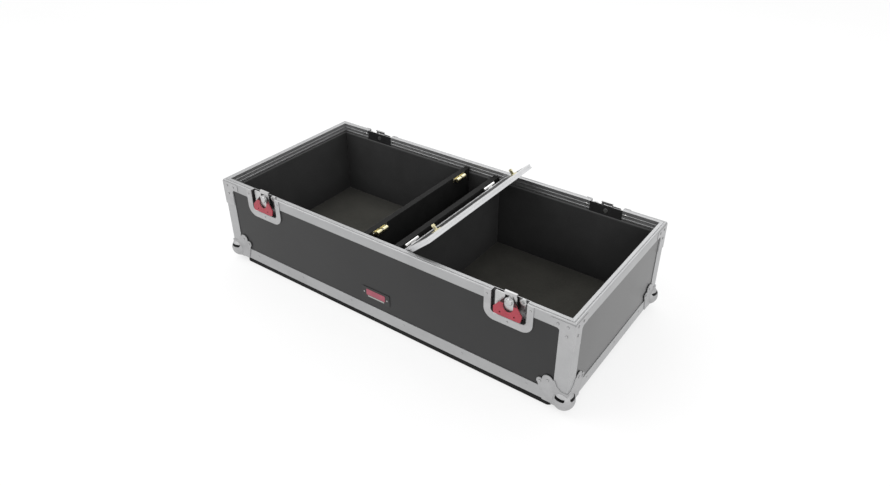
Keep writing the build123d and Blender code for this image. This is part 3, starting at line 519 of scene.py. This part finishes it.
# Painted shade: a dark ring on each rivet head's sloping edge.
touch_up("case_rivets", MID_SHADE, rivet_side)
touch_up("case_rivets", NICKEL, rivet_inside)
for latch in LATCHES:
    # Painted shade in each pan: deepest behind its lip, lighter on its sides and lighter still on its
    # back.
    touch_up(latch + "_latch_dish", DEEP_SHADE, pan_face)
    touch_up(latch + "_latch_dish", PAN_SIDE_SHADE, pan_side_face)
    touch_up(latch + "_latch_dish", MID_SHADE, pan_back_face)
    touch_up(latch + "_latch_wing", RED_SHADE, horn_face)
    touch_up(latch + "_latch_dish", ZINC, guide_face)
    touch_up(latch + "_latch_cam", ZINC, behind_boss)


# Foam linings
def lines(length, extra):
    """Grid lines along one side: close together at the ends, and on both sides of each break."""
    marks = set(EDGE_STEPS) | {length - e for e in EDGE_STEPS}
    for at in extra:
        marks |= {at - BREAK_GAP, at + BREAK_GAP}
    count = max(2, round(length / GRID_STEP))
    inner = [length * i / count for i in range(1, count)]
    marks |= {m for m in inner if EDGE_REACH < m < length - EDGE_REACH}
    kept = []
    for m in sorted(marks):
        if 0 <= m <= length and (not kept or m - kept[-1] > LEAST_STEP):
            kept.append(m)
    return kept


def flat(u, v):
    """A back without pockets, or a top edge without a notch."""
    return 0.0


def padded_sheet(name, node, corner, along, up, out, length, height, thick, material,
                 back=flat, cut=flat, breaks=((), ()), seed=0.0, swell=0.9):
    """A sheet of foam: a soft front with rounded edges over a back that may have pockets.
    back gives how far a pocket reaches into the sheet, and cut how far the top edge is lowered.
    The sheet stands for a part of the CAD node."""
    corner, along, up, out = (Vector(v) for v in (corner, along, up, out))
    us, vs = lines(length, breaks[0]), lines(height, breaks[1])
    radius = min(EDGE_RADIUS, thick * 0.42)

    def drop(distance):
        inside = max(0.0, radius - distance)
        return radius - math.sqrt(max(radius * radius - inside * inside, 0.0))

    bm = bmesh.new()
    fronts, backs = {}, {}
    for i, u in enumerate(us):
        for j, v in enumerate(vs):
            v_at = v - cut(u, v)
            edge = min(u, length - u, v, height - v)
            wave = noise.noise(Vector((u * 0.012 + seed, v * 0.017, seed * 3.1)))
            wave += 0.4 * noise.noise(Vector((u * 0.045, v * 0.05 + seed, 7.0)))
            soft = min(1.0, edge / SOFT_REACH)
            depth = thick - drop(edge) + soft * swell * (wave - 0.45)
            at = corner + along * u + up * v_at
            fronts[i, j] = bm.verts.new((at + out * depth) * MM)
            backs[i, j] = bm.verts.new((at + out * (back(u, v) + BACK_GAP)) * MM)
    n, m = len(us) - 1, len(vs) - 1
    for i in range(n):
        for j in range(m):
            bm.faces.new((fronts[i, j], fronts[i + 1, j], fronts[i + 1, j + 1], fronts[i, j + 1]))
            bm.faces.new((backs[i, j], backs[i, j + 1], backs[i + 1, j + 1], backs[i + 1, j]))
    for i in range(n):
        for j, flip in ((0, False), (m, True)):
            quad = [backs[i, j], backs[i + 1, j], fronts[i + 1, j], fronts[i, j]]
            bm.faces.new(quad[::-1] if flip else quad)
    for j in range(m):
        for i, flip in ((0, True), (n, False)):
            quad = [backs[i, j], backs[i, j + 1], fronts[i, j + 1], fronts[i, j]]
            bm.faces.new(quad[::-1] if flip else quad)
    bmesh.ops.recalc_face_normals(bm, faces=bm.faces)
    mesh = bpy.data.meshes.new(name)
    bm.to_mesh(mesh)
    bm.free()
    for poly in mesh.polygons:
        poly.use_smooth = True
    mesh.set_sharp_from_angle(angle=SHARP_ANGLE)
    mesh.materials.append(material)
    o = bpy.data.objects.new(name, mesh)
    bpy.context.collection.objects.link(o)
    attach(o, "case")
    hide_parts(node)


def wall_sheets(node, x0, x1, outer):
    """The sheets on the walls of one bay. outer is the side of the case's end: -1, 1 or 0 for none."""
    z0, height = BASE + FLOOR_TOP, FOAM_TOP - FLOOR_TOP
    thick = FOAM_IN - PANEL_IN
    start = x0 + thick if outer < 0 else x0
    stop = x1 - thick if outer > 0 else x1
    foot = POCKET_FOOT - FLOOR_TOP
    pockets = [c for c in (-LATCH_X, LATCH_X) if start < c < stop]

    def back(u, v):
        over_latch = any(abs(start + u - c) < POCKET_HALF for c in pockets)
        return POCKET_DEPTH - PANEL_IN + POCKET_GAP if over_latch and v >= foot else 0.0

    def cut(u, v):
        """The notch beside the lid's hinges, in the right bay."""
        if outer <= 0 or v < height - NOTCH_SLOPE or u > NOTCH_LENGTH:
            return 0.0
        return NOTCH_DROP * (v - height + NOTCH_SLOPE) / NOTCH_SLOPE

    breaks = [b - start for c in pockets for b in (c - POCKET_HALF, c + POCKET_HALF)]
    if outer > 0:
        breaks.append(NOTCH_LENGTH)
    for side, sign in (("front", -1), ("rear", 1)):
        corner = (start, sign * (HALF_Y - PANEL_IN), z0)
        padded_sheet(f"{node}_{side}", node, corner, (1, 0, 0), (0, 0, 1), (0, -sign, 0),
                     stop - start, height, thick, WALL_FOAM, back, cut,
                     (breaks, [foot]), seed=3.0 + sign + x0 * 0.01)
    if outer:
        corner = (x0 if outer < 0 else x1, -HALF_Y + PANEL_IN, z0)
        padded_sheet(f"{node}_end", node, corner, (0, 1, 0), (0, 0, 1), (-outer, 0, 0),
                     2 * (HALF_Y - PANEL_IN), height, thick, WALL_FOAM,
                     seed=9.0 + outer)
        top = FOAM_TOP if outer < 0 else LEAF_FOAM_TOP
        corner = (outer * DIVIDER_OUT, -HALF_Y + FOAM_IN, z0)
        padded_sheet(f"{node}_divider", node, corner, (0, 1, 0), (0, 0, 1), (outer, 0, 0),
                     2 * (HALF_Y - FOAM_IN), top - FLOOR_TOP, thick, WALL_FOAM,
                     seed=14.0 + outer)


def floor_sheet(node, x0, x1):
    """The mat on a bay's floor."""
    width = 2 * (HALF_Y - FOAM_IN)
    padded_sheet(node + "_pad", node, (x0, -width / 2, BASE + FLOOR_TOP), (1, 0, 0), (0, 1, 0),
                 (0, 0, 1), x1 - x0, width, MAT_TOP - FLOOR_TOP, MAT_FOAM,
                 seed=x0 * 0.02, swell=0.7)


wall_sheets("left_bay_wall_foam", -HALF_X + PANEL_IN, -DIVIDER_OUT, -1)
wall_sheets("utility_bay_wall_foam", -DIVIDER_IN, DIVIDER_IN, 0)
wall_sheets("right_bay_wall_foam", DIVIDER_OUT, HALF_X - PANEL_IN, 1)
floor_sheet("left_bay_floor_mat", -HALF_X + FOAM_IN, -DIVIDER_OUT - FOAM_IN + PANEL_IN)
floor_sheet("utility_bay_floor_mat", -DIVIDER_IN, DIVIDER_IN)
floor_sheet("right_bay_floor_mat", DIVIDER_OUT + FOAM_IN - PANEL_IN, HALF_X - FOAM_IN)

# Floor, light and camera
FLOOR_SIZE, FLOOR_DROP, FLOOR_GLOW = 30, 0.0005, 0.7
bpy.ops.mesh.primitive_plane_add(size=FLOOR_SIZE, location=(0, 0, -FLOOR_DROP))
floor = bpy.context.object
floor.name = "studio_floor"
pale = Surface("pale_floor", Roughness=0.9)
pale.colour(pale.ramp(pale.noise(3, 3, 0.5), (0.3, grey(0.90)), (0.7, grey(0.92))))
seen = pale.node("ShaderNodeLightPath")
direct = pale.maths("MAXIMUM", seen.outputs["Is Camera Ray"], seen.outputs["Is Glossy Ray"])
direct = pale.maths("MAXIMUM", direct, seen.outputs["Is Transmission Ray"])
share = pale.maths("MULTIPLY", direct, FLOOR_GLOW)
white = pale.node("ShaderNodeEmission")
blend_floor = pale.node("ShaderNodeMixShader")
pale.link(share, blend_floor.inputs["Fac"])
pale.link(pale.bsdf.outputs["BSDF"], blend_floor.inputs[1])
pale.link(white.outputs["Emission"], blend_floor.inputs[2])
pale.link(blend_floor.outputs["Shader"], pale.tree.nodes["Material Output"].inputs["Surface"])
floor.data.materials.append(pale.mat)

world = bpy.data.worlds.new("studio")
bpy.context.scene.world = world
world.use_nodes = True
background = world.node_tree.nodes["Background"]
background.inputs["Color"].default_value = (1, 1, 1, 1)
background.inputs["Strength"].default_value = 1.0


def softbox(name, place, aim, size, power):
    """A rectangular area lamp at a place, turned to what it lights."""
    data = bpy.data.lights.new(name, "AREA")
    data.shape = "RECTANGLE"
    data.size, data.size_y = size
    data.energy = power
    o = bpy.data.objects.new(name, data)
    bpy.context.collection.objects.link(o)
    o.location = place
    o.rotation_euler = (Vector(aim) - Vector(place)).to_track_quat("-Z", "Y").to_euler()


softbox("key_light", (-1.6, -1.2, 2.6), (0, 0, 0.1), (1.8, 1.8), power=24)
softbox("fill_light", (2.4, -1.6, 1.8), (0.2, 0, 0.1), (1.6, 1.6), power=15)
softbox("back_light", (-0.6, 2.3, 1.9), (0, 0, 0.2), (2.6, 1.6), power=14)

camera_data = bpy.data.cameras.new("camera")
camera = bpy.data.objects.new("camera", camera_data)
bpy.context.collection.objects.link(camera)
camera_data.sensor_fit = "HORIZONTAL"
camera_data.sensor_width = SENSOR_WIDTH
camera_data.lens = FOCAL_PIXELS / PHOTO_WIDTH * SENSOR_WIDTH
camera.location = CAMERA_PLACE
camera.rotation_euler = CAMERA_TURN
bpy.context.scene.camera = camera
bpy.context.scene.view_settings.view_transform = "Standard"
